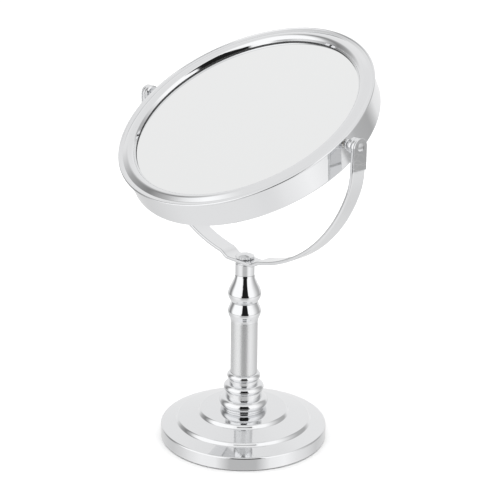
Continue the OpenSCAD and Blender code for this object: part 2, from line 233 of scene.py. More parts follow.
# %% [markdown]
# ## What the finishes share
# Handled metal is never perfectly even. Three effects are used by more than one finish, so
# each is a node group that is built once and given its own values in every material:
# haze, the cloudy film that fingers and polish leave, which only changes the roughness;
# ripple, the faint waviness of pressed or spun sheet; and turning lines, the fine rings that
# a lathe or a polishing belt leaves round a shaft.
# All of them read Object coordinates. Every piece sits at the origin, so one pattern runs
# on from piece to piece at its real scale.

# %% Node helpers
def add(tree, kind, **settings):
    """A node of that kind. A setting names an attribute of the node, or one of its inputs."""
    node = tree.nodes.new(kind)
    for name, value in settings.items():
        if hasattr(node, name):
            setattr(node, name, value)
        else:
            node.inputs[name].default_value = value
    return node


def group(name, inputs, output, kind):
    """A node group with a Vector input, float inputs and one output. Returns it with its two ends."""
    tree = bpy.data.node_groups.new(name, "ShaderNodeTree")
    tree.interface.new_socket("Vector", in_out="INPUT", socket_type="NodeSocketVector")
    for label, value in inputs.items():
        socket = tree.interface.new_socket(label, in_out="INPUT", socket_type="NodeSocketFloat")
        socket.default_value = value
    tree.interface.new_socket(output, in_out="OUTPUT", socket_type=kind)
    return tree, tree.nodes.new("NodeGroupInput"), tree.nodes.new("NodeGroupOutput")


# %% Haze: soft cloud, turned into roughness between a clean and a dull value
def make_haze():
    inputs = {"Clean": 0.03, "Dull": 0.08, "Scale": 40.0}
    tree, start, end = group("haze", inputs, "Roughness", "NodeSocketFloat")
    cloud = add(tree, "ShaderNodeTexNoise", Detail=4.0, Roughness=0.62)
    smear = add(tree, "ShaderNodeMapping")
    smear.inputs["Scale"].default_value = (1.0, 1.6, 0.35)
    spread = add(tree, "ShaderNodeMapRange", interpolation_type="SMOOTHSTEP")
    spread.inputs["From Min"].default_value = 0.42
    spread.inputs["From Max"].default_value = 0.72
    tree.links.new(start.outputs["Vector"], smear.inputs["Vector"])
    tree.links.new(smear.outputs["Vector"], cloud.inputs["Vector"])
    tree.links.new(start.outputs["Scale"], cloud.inputs["Scale"])
    tree.links.new(cloud.outputs["Fac"], spread.inputs["Value"])
    tree.links.new(start.outputs["Clean"], spread.inputs["To Min"])
    tree.links.new(start.outputs["Dull"], spread.inputs["To Max"])
    tree.links.new(spread.outputs["Result"], end.inputs["Roughness"])
    return tree


# %% Ripple: a slow waviness and fine stray scratches, as one height
def make_ripple():
    inputs = {"Scale": 26.0, "Scratches": 0.03}
    tree, start, end = group("ripple", inputs, "Height", "NodeSocketFloat")
    wave = add(tree, "ShaderNodeTexNoise", Detail=1.0)
    thin = add(tree, "ShaderNodeTexVoronoi", feature="DISTANCE_TO_EDGE", Scale=70.0)
    bent = add(tree, "ShaderNodeTexNoise", Scale=9.0, Detail=2.0)
    warp = add(tree, "ShaderNodeVectorMath", operation="MULTIPLY_ADD")
    warp.inputs[1].default_value = (0.6, 0.6, 0.6)
    hair = add(tree, "ShaderNodeMapRange")
    hair.inputs["From Max"].default_value = 0.012
    hair.inputs["To Min"].default_value = -1.0
    hair.inputs["To Max"].default_value = 0.0
    total = add(tree, "ShaderNodeMath", operation="MULTIPLY_ADD")
    tree.links.new(start.outputs["Vector"], wave.inputs["Vector"])
    tree.links.new(start.outputs["Scale"], wave.inputs["Scale"])
    tree.links.new(start.outputs["Vector"], bent.inputs["Vector"])
    tree.links.new(bent.outputs["Color"], warp.inputs[0])
    tree.links.new(start.outputs["Vector"], warp.inputs[2])
    tree.links.new(warp.outputs["Vector"], thin.inputs["Vector"])
    tree.links.new(thin.outputs["Distance"], hair.inputs["Value"])
    tree.links.new(hair.outputs["Result"], total.inputs[0])
    tree.links.new(start.outputs["Scratches"], total.inputs[1])
    tree.links.new(wave.outputs["Fac"], total.inputs[2])
    tree.links.new(total.outputs["Value"], end.inputs["Height"])
    return tree


# %% Turning lines: noise squeezed along the shaft, so that it forms fine rings
def make_turning():
    tree, start, end = group("turning_lines", {"Fineness": 900.0}, "Height", "NodeSocketFloat")
    squeeze = add(tree, "ShaderNodeMapping")
    squeeze.inputs["Scale"].default_value = (0.03, 0.03, 1.0)
    rings = add(tree, "ShaderNodeTexNoise", Detail=3.0, Roughness=0.7)
    tree.links.new(start.outputs["Vector"], squeeze.inputs["Vector"])
    tree.links.new(squeeze.outputs["Vector"], rings.inputs["Vector"])
    tree.links.new(start.outputs["Fineness"], rings.inputs["Scale"])
    tree.links.new(rings.outputs["Fac"], end.inputs["Height"])
    return tree


haze, ripple, turning = make_haze(), make_ripple(), make_turning()
print("node groups:", ", ".join(tree.name for tree in (haze, ripple, turning)))

# %% [markdown]
# ## The finishes
# Every finish is one Principled shader. What is the same all over the piece, such as the
# colour of chrome or its metalness, is set on the shader itself, and only what varies over
# the surface is linked. The height groups go through a Bump node, with a distance in metres
# that is small enough to bend a reflection without denting the piece.

# %% One recipe for all finishes
finishes = {}


def finish(name, colour, metal=1.0, clean=0.03, dull=0.08, cloud=40.0, texture=None, depth=0.0, **inputs):
    """A material named like its slot: constant colour and metalness, hazy roughness, and a bump
    from one group, with a depth in metres. The inputs are that group's."""
    material = bpy.data.materials.new(name)
    material.use_nodes = True
    tree = material.node_tree
    tree.nodes.clear()
    shader, output = add(tree, "ShaderNodeBsdfPrincipled"), add(tree, "ShaderNodeOutputMaterial")
    place = add(tree, "ShaderNodeTexCoord")
    shader.inputs["Base Color"].default_value = (*colour, 1.0)
    shader.inputs["Metallic"].default_value = metal
    dulling = add(tree, "ShaderNodeGroup", node_tree=haze)
    for label, value in {"Clean": clean, "Dull": dull, "Scale": cloud}.items():
        dulling.inputs[label].default_value = value
    tree.links.new(place.outputs["Object"], dulling.inputs["Vector"])
    tree.links.new(dulling.outputs["Roughness"], shader.inputs["Roughness"])
    if texture:
        relief = add(tree, "ShaderNodeGroup", node_tree=texture)
        for label, value in inputs.items():
            relief.inputs[label].default_value = value
        bump = add(tree, "ShaderNodeBump", Strength=1.0, Distance=depth)
        tree.links.new(place.outputs["Object"], relief.inputs["Vector"])
        tree.links.new(relief.outputs["Height"], bump.inputs["Height"])
        tree.links.new(bump.outputs["Normal"], shader.inputs["Normal"])
    tree.links.new(shader.outputs["BSDF"], output.inputs["Surface"])
    finishes[name] = material


# %% Bright and satin chrome, and the glass
CHROME = (0.80, 0.805, 0.815)
RINGS, WAVES = {"texture": turning, "depth": 0.00001}, {"texture": ripple, "depth": 0.00005}
finish("polished_chrome", CHROME, clean=0.025, dull=0.06, texture=ripple, depth=0.0001, Scale=26.0)
finish("satin_chrome", (0.78, 0.785, 0.79), clean=0.27, dull=0.32, **RINGS, Fineness=900.0)
finish("rod_chrome", CHROME, clean=0.03, dull=0.09, texture=turning, depth=0.000002, Fineness=1500.0)
finish("mirror_glass", (0.905, 0.91, 0.91), clean=0.004, dull=0.02, cloud=18.0)

# %% The steels, plastics, foams and the cast weight
FOAM = {"metal": 0.0, "clean": 0.85, "dull": 0.95, "texture": ripple, "depth": 0.0003, "Scale": 900.0}
finish("zinc_steel", (0.52, 0.53, 0.55), clean=0.28, dull=0.42, **RINGS)
finish("spring_steel", (0.42, 0.42, 0.43), clean=0.25, dull=0.4, **RINGS)
finish("nylon", (0.86, 0.84, 0.78), metal=0.0, clean=0.42, dull=0.55, **WAVES)
finish("weight_iron", (0.11, 0.11, 0.115), metal=0.6, clean=0.55, dull=0.75,
       texture=ripple, depth=0.0004, Scale=160.0)
finish("pad_foam", (0.02, 0.02, 0.022), **FOAM)
finish("seal_rubber", (0.075, 0.075, 0.077), metal=0.0, clean=0.5, dull=0.6, **WAVES)
finish("mounting_foam", (0.8, 0.8, 0.78), **FOAM)
finish("core_plastic", (0.72, 0.72, 0.72), metal=0.0, clean=0.4, dull=0.5, **WAVES)
print("finishes:", ", ".join(finishes))

# %% [markdown]
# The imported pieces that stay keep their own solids, because their shape is already right:
# the weight, the pad and what is hidden inside. They only need a finish. The record says
# which slot each piece belongs to.

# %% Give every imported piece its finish
for part in frame["record"]["subparts"]:
    mesh = nodes[part["node"]].data
    mesh.materials.clear()
    mesh.materials.append(finishes[part["material_slot"]])

# %% [markdown]
# ## The stepped base
# The base is one disc of sheet, spun over a former, with two soft risers between three
# treads and a rolled lower edge. A lathe-like outline is the natural way to make it. The
# risers are half waves of a cosine, which leave and meet the treads without a kink, as sheet
# does when it is spun. The inside follows the outside one sheet thickness lower.

# %% Spun base
base_r, base_top = span("base_cover")[1][[0, 2]]
base_foot = span("base_cover")[0][2]
tube_r = span("column_tube")[1][0]
SHEET, FIT = 1.0, 0.05
RIM_DROP, RIM_EDGE = 12.0, 1.3   # how far the rim's top lies below the base's, and the rim's rounding
RISER, FLARE, FLAT_R = 2.3, 0.4, 17.0
RISERS = [(10.6, 9.4, 6.75), (26.8, 3.7, 0.95)]  # inward from the rim, then foot and head below the top


def wave_step(start, stop, steps=16):
    """A soft riser: the radius goes evenly from start to stop, the height follows half a cosine wave."""
    share = np.linspace(0, 1, steps + 1)
    (r0, z0), (r1, z1) = start, stop
    return np.column_stack([r0 + (r1 - r0) * share, z0 + (z1 - z0) * (1 - np.cos(pi * share)) / 2])


def base_outline():
    """Outside from the rim's foot up the treads to the collar, then back down the inside."""
    rim_top, foot_edge = base_top - RIM_DROP, 0.35
    outside = chain(
        arc((base_r - foot_edge, base_foot + foot_edge), foot_edge, -90, 0, 5),
        arc((base_r - RIM_EDGE, rim_top - RIM_EDGE), RIM_EDGE, 0, 76, 10),
        *(wave_step((base_r - inward + FLARE, base_top - foot), (base_r - inward - RISER, base_top - head))
          for inward, foot, head in RISERS),
        [[FLAT_R, base_top], [tube_r + FIT, base_top]])
    inside = chain(
        [[tube_r + FIT, base_top - SHEET], [FLAT_R, base_top - SHEET]],
        *(wave_step((base_r - inward - RISER, base_top - head - SHEET),
                    (base_r - inward, base_top - foot - SHEET)) for inward, foot, head in RISERS[::-1]),
        [[base_r - SHEET - 0.4, rim_top - SHEET - 0.3], [base_r - SHEET, rim_top - SHEET - 0.8]],
        [[base_r - SHEET, base_foot]])
    return chain(outside, inside, closed=True)


show("spun_base", revolved(base_outline(), 288), "pedestal", "polished_chrome", ["base_cover"])

# %% [markdown]
# ## Collar, tube and the fittings on the rod
# These are bar-turned. Beads are true arcs that meet straight necks in a crisp inner corner,
# as a form tool leaves them, while the two bulges swell and shrink along sine curves. The
# tube's ends are only broken with a tiny radius.

# %% Collar with three beads
# Each bead: radius and height of its centre, its own radius, and the angles where its arc starts and ends.
BEADS = [(13.6, 4.6, 3.9, -55.7, 95.9), (11.1, 15.6, 3.4, -51.9, 100.2), (9.1, 24.4, 2.9, -61.1, 77.0)]
NECKS = [(13.2, 12.9), (10.5, 21.9)]  # radius and height of the top of each straight neck
FOOT_CENTRE, FOOT_EDGE = 15.5, 0.3


def collar_outline():
    """Three beads of falling size, each on a narrower body than the one below."""
    beads = [arc((r, base_top + z), radius, low, high, 28) for r, z, radius, low, high in BEADS]
    necks = [[[r, base_top + z]] for r, z in NECKS]
    return chain([[tube_r + FIT, base_top]], arc((FOOT_CENTRE, base_top + FOOT_EDGE), FOOT_EDGE, -90, 0, 4),
                 beads[0], necks[0], beads[1], necks[1], beads[2], closed=True)


show("beaded_collar", revolved(collar_outline()), "pedestal", "polished_chrome", ["collar"])

# %% [markdown]
# The satin tube and the rod in it are plain sleeves. A cylinder with a bevel would do, but a
# rounded rectangle that is turned round the axis gives the bore and all four edges at once.

# %% Satin tube and the rod inside it
TUBE_BORE, ROD_BORE = 8.5, 4.8


def sleeve(node, bore, edge):
    """A plain sleeve with broken edges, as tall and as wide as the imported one."""
    low, high = span(node)
    corners = (bore, low[2]), (high[0], low[2]), (high[0], high[2]), (bore, high[2])
    return revolved(rounded([(*corner, edge) for corner in corners], 4))


show("satin_tube", sleeve("column_tube", TUBE_BORE, 0.2), "pedestal", "satin_chrome", ["column_tube"])
show("chromed_rod", sleeve("slide_rod", ROD_BORE, 0.3), "rod", "rod_chrome", ["slide_rod"])

# %% [markdown]
# The two bulges and the bell are one long play of the radius against the height. Arcs would
# leave a change of curvature at each joint, and chrome shows it as a kink in the reflection.
# Cosine waves run into each other softly, and only the waist is left as a sharp corner.

# %% The two bulges, the bell and its neck
ferrule_foot = span("lower_ferrule")[0][2]
waist_z = span("bell_neck")[0][2]
neck_top = span("bell_neck")[1][2]
bulge_r = span("bell_neck")[1][0]
rod_r = span("slide_rod")[1][0]
WAIST_R, FOOT_R, NECK_R = 9.3, 9.95, 6.9
FERRULE_WIDEST, BELL_WIDEST, BELL_H = 7.05, 6, 21
PARTING, NECK_EDGE = 0.1, 0.25


def half_wave(start, stop, steps=20):
    """A soft shoulder: the height goes evenly, and the radius follows half a cosine wave."""
    return wave_step(start[::-1], stop[::-1], steps)[:, ::-1]


def swell(widest, narrow, steps=16):
    """A quarter of a cosine wave from the widest place to a narrow one, where it ends with its full slope."""
    share = np.linspace(0, 1, steps + 1)
    (r0, z0), (r1, z1) = widest, narrow
    return np.column_stack([r1 + (r0 - r1) * np.cos(pi / 2 * share), z0 + (z1 - z0) * share])


def ferrule_outline():
    """From the tube's mouth out to the bulge, and in again to the waist."""
    widest = (bulge_r, ferrule_foot + FERRULE_WIDEST)
    return chain(
        [[rod_r + FIT, ferrule_foot], [FOOT_R - 0.1, ferrule_foot]],
        half_wave((FOOT_R, ferrule_foot + 0.15), widest),
        swell(widest, (WAIST_R, waist_z - PARTING)),
        [[rod_r + FIT, waist_z - PARTING]], closed=True)


def bell_outline():
    """From the waist out to the crown, then in a long bell to the straight neck, with a flat top."""
    crown = (bulge_r, waist_z + BELL_WIDEST)
    return chain(
        [[0, waist_z]], swell(crown, (WAIST_R, waist_z))[::-1],
        half_wave(crown, (NECK_R, waist_z + BELL_H), 30),
        arc((NECK_R - NECK_EDGE, neck_top - NECK_EDGE), NECK_EDGE, 0, 90, 5), [[0, neck_top]])


show("lower_bulge", revolved(ferrule_outline()), "rod", "polished_chrome", ["lower_ferrule"])
show("bell_and_neck", revolved(bell_outline()), "rod", "polished_chrome", ["bell_neck"], (False, True))

# %% [markdown]
# ## The screw on top
# The yoke is held by a low-domed screw with a fine knurl round its rim for the fingers. Its
# outline is turned like the rest, and then the radius is made to wave in and out with the
# angle. The wave only acts near the rim, so the dome stays smooth.

# %% Knurled cap screw
cap_low, cap_high = span("cap_screw")
CAP_RIM, CAP_DOME, CAP_STEP, SHANK_R = 1.5, 1.7, 0.6, 3.0
FLUTES, FLUTE_DEPTH = 24, 0.32


def cap_grid():
    """The revolved outline, with flutes in its rim: the cut is the fourth power of a raised cosine.
    The dome's sphere has radius (rim squared plus rise squared) over twice the rise."""
    rim_foot = cap_high[2] - CAP_RIM - CAP_DOME
    cap_r, dome_r = cap_high[0], cap_high[0] - CAP_STEP
    sphere = (dome_r**2 + CAP_DOME**2) / (2 * CAP_DOME)
    edge = degrees(atan2(sphere - CAP_DOME, dome_r))
    outline = chain(
        [[0, cap_low[2]]], [[SHANK_R, cap_low[2]]], [[SHANK_R, rim_foot]],
        arc((cap_r - 0.2, rim_foot + 0.2), 0.2, -90, 0, 5),
        arc((cap_r - 0.3, rim_foot + CAP_RIM - 0.3), 0.3, 0, 90, 6),
        arc((0, cap_high[2] - sphere), sphere, edge, 90, 24))
    outline[-1, 0] = 0
    grid = revolved(outline, FLUTES * 14)
    angle = np.arctan2(grid[..., 1], grid[..., 0])
    near_rim = np.clip((outline[:, 0] - dome_r) / (cap_r - dome_r), 0, 1)[:, None]
    cut = FLUTE_DEPTH * near_rim * (0.5 - 0.5 * np.cos(FLUTES * angle)) ** 4
    radius = np.maximum(outline[:, :1], 1e-9)
    grid[..., :2] *= (1 - cut / radius)[..., None]
    return grid


show("knurled_cap", cap_grid(), "rod", "polished_chrome", ["cap_screw"], (False, True))
washer_low, washer_high = span("swivel_washer")
WASHER_BORE = 3.2
washer = rounded([(WASHER_BORE, washer_low[2], 0.1), (washer_high[0], washer_low[2], 0.2),
                  (washer_high[0], washer_high[2], 0.2), (WASHER_BORE, washer_high[2], 0.1)], 4)
show("thrust_washer", revolved(washer), "rod", "polished_chrome", ["swivel_washer"])

# %% [markdown]
# ## The yoke
# The yoke is a flat strap bent on edge into a U: two straight legs, two tight shoulders, one
# long arc, and in the middle a flat seat that is joggled down for the screw. A curve with a
# bevel could follow that line, but its cross-section turns soft at tight bends. Here the
# centre line is worked out from its arcs, and a rounded rectangle is carried along it by
# the line's own normals, so the strap is equally thick everywhere. Its width falls evenly
# from the seat up to the tilt axis, where each end closes in a half circle.

# %% The strap's centre line
strap_low, strap_high = span("yoke_strap")
STRAP_W, STRAP_T = strap_high[1] * 2, 2.6
END_W = 2 * (strap_high[2] - pivot[2])
LEG, SHOULDER, SEAT, JOGGLE, JOGGLE_H = 15.0, 50.0 - STRAP_T / 2, 11.0, 19.5, 2.0
half = strap_high[0] - STRAP_T / 2
seat_drop = strap_low[2] + STRAP_T / 2 - pivot[2]


def big_arc():
    """Radius and centre height of the long arc, and where the shoulder bends that it touches
    have their centres. It would meet the middle one joggle above the seat."""
    drop = -seat_drop - JOGGLE_H
    shoulder_x = half - SHOULDER
    lift = (shoulder_x**2 + LEG**2 - (drop - SHOULDER) ** 2) / (2 * (drop - SHOULDER - LEG))
    return drop + lift, lift, shoulder_x


def joggle(outer, seat, steps=28):
    """A smooth S from the seat to the arc: the cubic that is level at the seat and has the arc's
    height and slope at its other end."""
    radius, lift, _ = big_arc()
    z1 = lift - np.sqrt(radius**2 - outer**2)
    slope = outer / np.sqrt(radius**2 - outer**2) * (outer - seat)
    t = np.linspace(0, 1, steps + 1)
    height = seat_drop * (2 * t**3 - 3 * t**2 + 1) + z1 * (3 * t**2 - 2 * t**3) + slope * (t**3 - t**2)
    return np.column_stack([seat + (outer - seat) * t, height])


def strap_line():
    """Half the line, from the middle of the seat to the tilt axis, and its mirror image put before it."""
    radius, lift, shoulder_x = big_arc()
    touch = degrees(atan2(LEG + lift, shoulder_x))
    low = degrees(np.arccos(JOGGLE / radius))
    right = np.vstack([
        straight((0, seat_drop), (SEAT, seat_drop), 1.0), joggle(JOGGLE, SEAT),
        arc((0, lift), radius, -low, -touch, 110)[1:],
        arc((shoulder_x, -LEG), SHOULDER, -touch, 0, 24)[1:],
        straight((half, -LEG), (half, 0), 1.0), [[half, 0]]])
    return np.vstack([right[:0:-1] * [-1, 1], right])


line = strap_line()
length = np.linalg.norm(np.diff(line, axis=0), axis=1).sum()
print(f"the strap's line has {len(line)} points and is {length:.0f} mm long")

# %% The strap itself
STRAP_EDGE = 0.85


def strap_grid():
    """For each point of the line a rounded rectangle: half the width along Y, and half the thickness
    along the line's normal. The width falls evenly with height, from the seat to the tilt axis.
    Past the axis the line goes straight up, and half the width is the cosine of its way round the end."""
    turn = np.radians(np.linspace(4, 84, 16))
    past = END_W / 2 * np.sin(turn)
    top = np.column_stack([np.full(len(past), half), past])
    path = np.vstack([top[::-1] * [-1, 1], line, top])
    taper = (END_W + (STRAP_W - END_W) * np.clip(line[:, 1] / seat_drop, 0, 1)) / 2
    width = np.concatenate([np.cos(turn[::-1]) * END_W / 2, taper, np.cos(turn) * END_W / 2])
    along = np.gradient(path, axis=0)
    along /= np.linalg.norm(along, axis=1)[:, None]
    normal = along[:, ::-1] * [-1, 1]
    quarters = (-1, -1), (1, -1), (1, 1), (-1, 1)
    corner = rounded([(x * STRAP_W / 2, y * STRAP_T / 2, STRAP_EDGE) for x, y in quarters], 8)
    inset, thick = STRAP_W / 2 - np.abs(corner[:, 0]), corner[:, 1]
    x = path[:, :1] + normal[:, :1] * thick
    y = np.sign(corner[:, 0]) * np.maximum(width[:, None] - inset, 0)
    z = path[:, 1:] + normal[:, 1:] * thick + pivot[2]
    grid = np.stack([x, y, z], axis=-1)
    ends = [np.repeat(grid[row].mean(axis=0)[None, None], grid.shape[1], axis=1) for row in (0, -1)]
    return np.concatenate([ends[0], grid, ends[1]])


show("bent_strap", strap_grid(), "yoke", "polished_chrome", ["yoke_strap"], (False, True))

# %% [markdown]
# ## What holds the head
# On each side a short plate with a round top is riveted over the strap's end, and a turned
# spacer keeps the head clear of the strap. The plate is a flat shape with a hole, so its
# surface is a loop of section, hole to edge and back, carried round the outline. The pin
# and the spacer are turned, and then laid along the tilt axis.

# %% End plates
SIGNS = {"left": -1, "right": 1}
PIN_R, PIN_HEAD_R, PLATE_EDGE, PLATE_RIM = 2.0, 2.8, 0.25, 0.15


def reach(node):
    """Least and greatest distance of a packed side piece from the middle, along X."""
    return sorted(abs(corner[0]) for corner in span(node))


def plate_grid(side):
    """Round the outline: along the underside, up the edge with two small arcs, and back to the hole."""
    low, high = span("end_plate_" + side)
    inner, outer = reach("end_plate_" + side)
    foot, wide = pivot[2] - low[2], high[1]
    sides = rounded([(wide, 2, 0), (wide, -foot, 0.5), (-wide, -foot, 0.5), (-wide, 2, 0)])
    sides = sides[sides[:, 1] <= 0]
    order = np.argsort(np.arctan2(sides[:, 0], -sides[:, 1]))[::-1]
    outline = chain(arc((0, 0), wide, 180, 0, 48), sides[order], closed=True)
    tangent = np.roll(outline, -1, 0) - np.roll(outline, 1, 0)
    tangent /= np.linalg.norm(tangent, axis=1)[:, None]
    outward = tangent[:, ::-1] * [-1, 1]
    outward *= np.sign((outward * outline).sum(axis=1))[:, None]
    hole = outline / np.linalg.norm(outline, axis=1)[:, None] * (PIN_HEAD_R + 0.08)
    thick, flat_edge = outer - inner, outline - outward * (PLATE_EDGE + PLATE_RIM)
    turn = np.radians(np.linspace(0, 90, 5))
    across, up = PLATE_EDGE * (1 - np.sin(turn)), PLATE_EDGE * (1 - np.cos(turn))
    rows = [(hole, 0.0), (flat_edge, 0.0)]
    rows += [(outline - outward * a, b) for a, b in zip(across, up)]
    rows += [(outline - outward * b, thick - a) for a, b in zip(across, up)]
    rows += [(flat_edge, thick), (hole * 1.04, thick), (hole, thick - 0.1)]
    sign = SIGNS[side]
    return np.stack([np.column_stack([np.full(len(flat), sign * (inner + height)), flat + [0, pivot[2]]])
                     for flat, height in rows])


for side in SIGNS:
    show("riveted_plate_" + side, plate_grid(side), "yoke", "polished_chrome", ["end_plate_" + side])


# %% [markdown]
# Spacers and pins are small, but light catches on every disc of them. They are outlines
# like the rest, and what was height becomes the distance along the tilt axis.

# %% Spacers and pins, turned and then laid on the tilt axis
def laid(outline, side):
    """The revolved grid with its axis turned sideways: height becomes X, and the axis passes the pivot."""
    grid = revolved(outline, 96)
    return np.stack([SIGNS[side] * grid[..., 2], grid[..., 0], grid[..., 1] + pivot[2]], axis=-1)


def spacer_outline(side):
    """A thin neck, a small disc under the bezel's rim, a narrow waist, and a wide disc against the strap."""
    start, stop = reach("spacer_" + side)
    disc = bezel_r + 0.3
    bore, sleeve_r, small, waist, wide = PIN_R + FIT, 2.5, 4.1, 3.0, 5.9
    return rounded([
        (bore, start, 0), (sleeve_r, start, 0.1), (sleeve_r, disc, 0), (small, disc, 0.5),
        (small, disc + 1.7, 0.5), (waist, disc + 1.9, 0), (waist, stop - 3.1, 0), (5.0, stop - 2.9, 0.2),
        (wide, stop - 2.3, 0.5), (wide, stop - 0.3, 0.5), (5.0, stop, 0.1), (bore, stop, 0)])


def pin_outline(side):
    """Thread, shank and flush head, whose face is very slightly domed."""
    start, stop = reach("pivot_pin_" + side)
    seat, dome, thread_r, thread_l = stop - 0.95, 0.1, 1.5, 2.8
    face = np.linspace(PIN_HEAD_R - 0.15, 0, 14)
    crown = np.column_stack([face, stop - dome * (face / PIN_HEAD_R) ** 2])
    return chain([[0, start], [thread_r, start], [thread_r, start + thread_l],
                  [PIN_R, start + thread_l + 0.2], [PIN_R, seat], [PIN_HEAD_R, seat]],
                 [[PIN_HEAD_R, stop - dome - 0.15]], crown)


for side in SIGNS:
    for name, outline, replaced in (("turned_spacer_", spacer_outline, "spacer_"),
                                    ("headed_pin_", pin_outline, "pivot_pin_")):
        show(name + side, laid(outline(side), side), "yoke", "polished_chrome", [replaced + side])

# %% [markdown]
# ## The head
# The head is a drawn shell that is closed in front by a stamped ring. Both are drawn flat,
# about the mirror's own axis, and then leaned. The ring's section is what makes the rim
# look rich: a rolled edge, a flat band, a slope up to a broad round bead, and on its inner
# side the fall to a lip that ends on the rubber seal, just above the glass.

# %% Lean a flat grid about the tilt axis
def leaned(grid):
    """Turns a grid about the X axis by the lean, then lifts it to the pivot."""
    x, y, z = grid[..., 0], grid[..., 1], grid[..., 2]
    return np.stack([x, y * cos(lean) - z * sin(lean), y * sin(lean) + z * cos(lean) + pivot[2]], axis=-1)


case_r = span("casing")[1][0]
GLASS_FACE, GLASS_T, SIGHT_R, BACK, SKIN = 2.1, 2.0, 80.4, 15.2, 0.6
WALL_TOP, LIP, LIP_W = 4.3, 2.95, 0.55

# %% Stamped bezel
ROLL, ROLL_Z, BAND, SKIRT_FOOT, SKIRT_GAP = 0.8, 5.0, 5.05, 0.8, 0.2
BEAD_R, BEAD_Z, BEAD_OUT, BEAD_IN = 4.2, 2.35, 68, 150  # the bead's arc runs between these two angles
CREST = SIGHT_R + 4.4
SLOPE_FOOT = CREST + 4.4


def bezel_outline():
    """Skirt, rolled rim, flat band, outer slope, broad bead and lip outside. Inside, the same line one
    skin lower. The slope ends where the bead's arc starts: centre plus radius times (cosine, sine)."""
    start = radians(BEAD_OUT)
    slope_top = CREST + BEAD_R * cos(start), BEAD_Z + BEAD_R * sin(start)
    skirt, under, roll_in = case_r - SKIN - 0.1, BAND - SKIN, bezel_r - 2 * ROLL
    outside = chain(
        [[skirt, SKIRT_FOOT]], [[skirt, under - SKIRT_GAP]],
        arc((bezel_r - ROLL, ROLL_Z), ROLL, -165, 150, 44),
        bend((roll_in, BAND), (SLOPE_FOOT, BAND), slope_top, 0.8),
        arc((CREST, BEAD_Z), BEAD_R, BEAD_OUT, BEAD_IN, 56), [[SIGHT_R + FIT, LIP]])
    inside = chain(
        [[SIGHT_R + LIP_W, LIP]], arc((CREST, BEAD_Z), BEAD_R - SKIN, BEAD_IN, BEAD_OUT, 24),
        [[SLOPE_FOOT, under], [roll_in, under]],
        [[skirt - SKIN, under - SKIRT_GAP]], [[skirt - SKIN, SKIRT_FOOT]])
    return chain(outside, inside, closed=True)


show("stamped_bezel", leaned(revolved(bezel_outline(), 320)), "head", "polished_chrome", ["front_bezel"])

# %% [markdown]
# The casing is drawn from one sheet: a straight wall, a rounded back edge and a rear rim that
# is left standing round the opening. An outline with both skins keeps the sheet's thickness,
# which a plain cylinder doesn't have.

# %% Drawn casing
BACK_EDGE, REAR_LIP, REAR_INSIDE = 1.5, 0.3, 0.8


def casing_outline():
    """Side wall, rounded back edge and a flat rear rim with a soft lip round the opening."""
    corner = case_r - BACK_EDGE, BACK_EDGE - BACK
    outside = chain([[case_r - 0.1, WALL_TOP], [case_r, WALL_TOP - 0.1]], arc(corner, BACK_EDGE, 0, -90, 16),
                    arc((SIGHT_R + REAR_LIP, REAR_LIP - BACK), REAR_LIP, -90, -180, 6))
    inside = chain([[SIGHT_R, REAR_INSIDE - BACK]], arc(corner, BACK_EDGE - SKIN, -90, 0, 12),
                   [[case_r - SKIN, WALL_TOP]])
    return chain(outside, inside, closed=True)


show("drawn_casing", leaned(revolved(casing_outline(), 320)), "head", "polished_chrome", ["casing"])

# %% [markdown]
# ## The two glasses
# The front glass is flat, with ground edges that hide under the bezel. The rear one is
# dished to magnify: both faces are parts of spheres that share a centre, so the glass has the
# same thickness everywhere. Both are silvered, and to the eye the silver is the surface.

# %% Flat glass and dished glass
glass_r = span("front_glass")[1][0]
MAGNIFY_R = 600.0


def flat_glass_outline():
    """Half the disc's section, from the middle of the back to the middle of the front."""
    back, edge = GLASS_FACE - GLASS_T, 0.35
    return chain([[0, back], [glass_r - edge, back]], [[glass_r, back + edge]],
                 [[glass_r, GLASS_FACE - edge]], [[glass_r - edge, GLASS_FACE]], [[0, GLASS_FACE]])


def dished_glass_outline():
    """Two sphere caps: the height is the centre plus the root of radius squared less distance squared."""
    centre = REAR_INSIDE - BACK - np.sqrt(MAGNIFY_R**2 - glass_r**2)
    r = np.linspace(0, glass_r, 60)
    near, far = (centre + np.sqrt(radius**2 - r**2) for radius in (MAGNIFY_R, MAGNIFY_R + GLASS_T))
    return np.vstack([np.column_stack([r, near]), np.column_stack([r, far])[::-1]])


for name, outline, replaced in (("flat_mirror", flat_glass_outline, "front_glass"),
                                ("dished_mirror", dished_glass_outline, "rear_glass")):
    show(name, leaned(revolved(outline())), "head", "mirror_glass", [replaced], (False, True))

# %% [markdown]
# The front glass is bedded on a black rubber seal. Only its inner edge shows, between the lip
# and the glass, but that thin dark line is what makes the mirror look set in.

# %% Rubber seal between the lip and the front glass
SEAL_W = 3


def seal_outline():
    """A low ring whose visible corner is rounded, because rubber is never sharp."""
    low, high, top = SIGHT_R + 0.1, SIGHT_R + SEAL_W, LIP - FIT
    return rounded([(low, GLASS_FACE, 0.2), (high, GLASS_FACE, 0), (high, top, 0), (low, top, 0.4)])


show("rubber_seal", leaned(revolved(seal_outline(), 320)), "head", "seal_rubber", ["glass_seal"])

# %% [markdown]
# ## The camera
# A long lens from about a metre away keeps the base and the head in true proportion. It
# stands a little above the table and to the side, and is rolled by less than a degree, as a
# hand-levelled tripod is.

# %% Camera
AZIMUTH, ELEVATION, DISTANCE, ROLL = radians(45.7), radians(19.0), 1.017, radians(0.7)
LENS = 104.5
toward = Vector((sin(AZIMUTH) * cos(ELEVATION), -cos(AZIMUTH) * cos(ELEVATION), sin(ELEVATION)))
right = Vector((cos(AZIMUTH), sin(AZIMUTH), 0))
aim = Vector((0, 0, 0.1419)) + right * 0.0034


